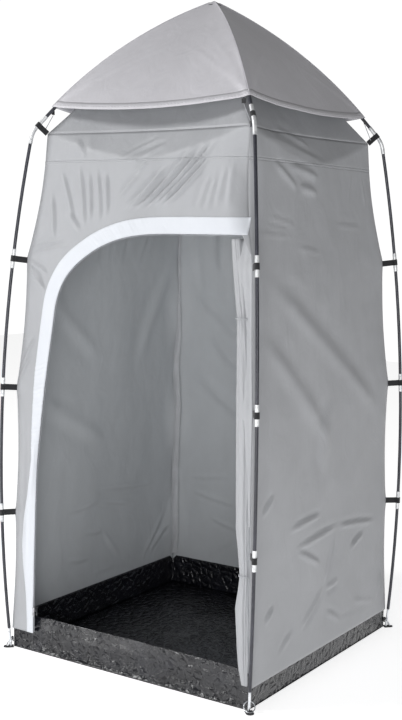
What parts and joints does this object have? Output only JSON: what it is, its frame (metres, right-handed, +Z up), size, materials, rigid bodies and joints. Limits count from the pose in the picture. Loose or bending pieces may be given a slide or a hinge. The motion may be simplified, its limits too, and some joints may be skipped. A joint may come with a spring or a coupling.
{
  "type": "privacy shower tent",
  "caption": "Tall square cloth cabin with a tied-back arched door and a tray floor, hung inside four bent poles that cross at a crown hub under a lift-off rain cover.",
  "frame": {"origin": "on the ground under the middle of the tent", "axes": "+Z up, -Y out through the door, +X to the right seen from outside the door"},
  "size_m": [1.0248, 1.0248, 2.2118],
  "materials": {
    "cover_cloth": "coated polyester, satin",
    "wall_cloth": "coated polyester, satin",
    "vent_mesh": "fine mesh",
    "tub_sheet": "glossy coated sheet",
    "trim_tape": "white ribbon",
    "zip_nylon": "nylon coil",
    "zip_metal": "black enamel",
    "webbing": "woven webbing",
    "fibreglass": "semi-gloss",
    "ferrule_steel": "zinc plated",
    "ring_steel": "plated wire",
    "hub_plastic": "moulded",
    "elastic": "braided elastic",
    "binding": "folded tape"
  },
  "bodies": {
    "tent": {"groundsheet_tub": "tub_sheet", "front_wall": "wall_cloth", "left_wall": "wall_cloth", "right_wall": "wall_cloth", "back_wall": "wall_cloth", "yoke_front": "wall_cloth", "yoke_left": "wall_cloth", "yoke_right": "wall_cloth", "yoke_back": "wall_cloth", "roof_panel_front": "wall_cloth", "roof_panel_left": "wall_cloth", "roof_panel_right": "wall_cloth", "roof_panel_back": "wall_cloth", "roof_mesh": "vent_mesh", "crown_hanger": "webbing", "corner_seam_bindings": "binding", "door_trim_band": "trim_tape", "door_zip": "zip_nylon", "corner_straps": "webbing", "shoulder_straps": "webbing", "cover_hold_downs": "elastic", "leg_rods_front_left": "fibreglass", "leg_rods_front_right": "fibreglass", "leg_rods_back_left": "fibreglass", "leg_rods_back_right": "fibreglass", "pole_ferrules": "ferrule_steel", "elbow_front_left": "ferrule_steel", "elbow_front_right": "ferrule_steel", "elbow_back_left": "ferrule_steel", "elbow_back_right": "ferrule_steel", "roof_rods_front_left": "fibreglass", "roof_rods_front_right": "fibreglass", "roof_rods_back_left": "fibreglass", "roof_rods_back_right": "fibreglass", "crown_hub": "hub_plastic", "shock_cord_front_left": "elastic", "shock_cord_front_right": "elastic", "shock_cord_back_left": "elastic", "shock_cord_back_right": "elastic", "foot_pins": "ferrule_steel", "foot_tabs": "webbing"},
    "rain_cover": {"cover_front": "cover_cloth", "cover_left": "cover_cloth", "cover_right": "cover_cloth", "cover_back": "cover_cloth", "cover_hem": "cover_cloth", "cover_corner_tabs": "webbing"},
    "door": {"rolled_door": "wall_cloth", "door_tie_lower": "elastic", "door_tie_upper": "elastic"},
    "zip_slider": {"zip_slider": "zip_metal"},
    "zip_pull_outer": {"zip_pull_outer": "zip_metal"},
    "zip_pull_inner": {"zip_pull_inner": "zip_metal"},
    "toggle_lower": {"toggle_lower": "hub_plastic"},
    "toggle_upper": {"toggle_upper": "hub_plastic"},
    "foot_ring_front_left": {"foot_ring_front_left": "ring_steel"},
    "foot_ring_front_right": {"foot_ring_front_right": "ring_steel"},
    "foot_ring_back_left": {"foot_ring_back_left": "ring_steel"},
    "foot_ring_back_right": {"foot_ring_back_right": "ring_steel"}
  },
  "joints": [
    {"name": "cover_lift", "type": "slide", "parent": "tent", "child": "rain_cover", "axis": [0, 0, 1], "range_m": [0, 0.25]},
    {"name": "door_swing", "type": "hinge", "parent": "tent", "child": "door", "pos_m": [0.477, -0.477, 0.75], "axis": [0, 0, 1], "range_deg": [0, 60]},
    {"name": "zip_travel", "type": "slide", "parent": "tent", "child": "zip_slider", "axis": [0, 0.0238, 0.9997], "range_m": [0, 0.28]},
    {"name": "outer_pull_swing", "type": "hinge", "parent": "zip_slider", "child": "zip_pull_outer", "pos_m": [-0.379, -0.48278, 0.15518], "axis": [-1, 0, 0], "range_deg": [0, 120]},
    {"name": "inner_pull_swing", "type": "hinge", "parent": "zip_slider", "child": "zip_pull_inner", "pos_m": [-0.379, -0.46758, 0.15482], "axis": [1, 0, 0], "range_deg": [0, 120]},
    {"name": "lower_toggle_turn", "type": "hinge", "parent": "door", "child": "toggle_lower", "pos_m": [0.44457, -0.43397, 0.407], "axis": [0, 1, 0], "range_deg": [-80, 80]},
    {"name": "upper_toggle_turn", "type": "hinge", "parent": "door", "child": "toggle_upper", "pos_m": [0.40683, -0.40923, 1.18], "axis": [0, 1, 0], "range_deg": [-80, 80]},
    {"name": "front_left_ring_swing", "type": "hinge", "parent": "tent", "child": "foot_ring_front_left", "pos_m": [-0.47883, -0.47883, 0.03228], "axis": [-0.7071, 0.7071, 0], "range_deg": [0, 50]},
    {"name": "front_right_ring_swing", "type": "hinge", "parent": "tent", "child": "foot_ring_front_right", "pos_m": [0.47883, -0.47883, 0.03228], "axis": [-0.7071, -0.7071, 0], "range_deg": [0, 50]},
    {"name": "back_left_ring_swing", "type": "hinge", "parent": "tent", "child": "foot_ring_back_left", "pos_m": [-0.47883, 0.47883, 0.03228], "axis": [0.7071, 0.7071, 0], "range_deg": [0, 50]},
    {"name": "back_right_ring_swing", "type": "hinge", "parent": "tent", "child": "foot_ring_back_right", "pos_m": [0.47883, 0.47883, 0.03228], "axis": [0.7071, -0.7071, 0], "range_deg": [0, 50]}
  ]
}
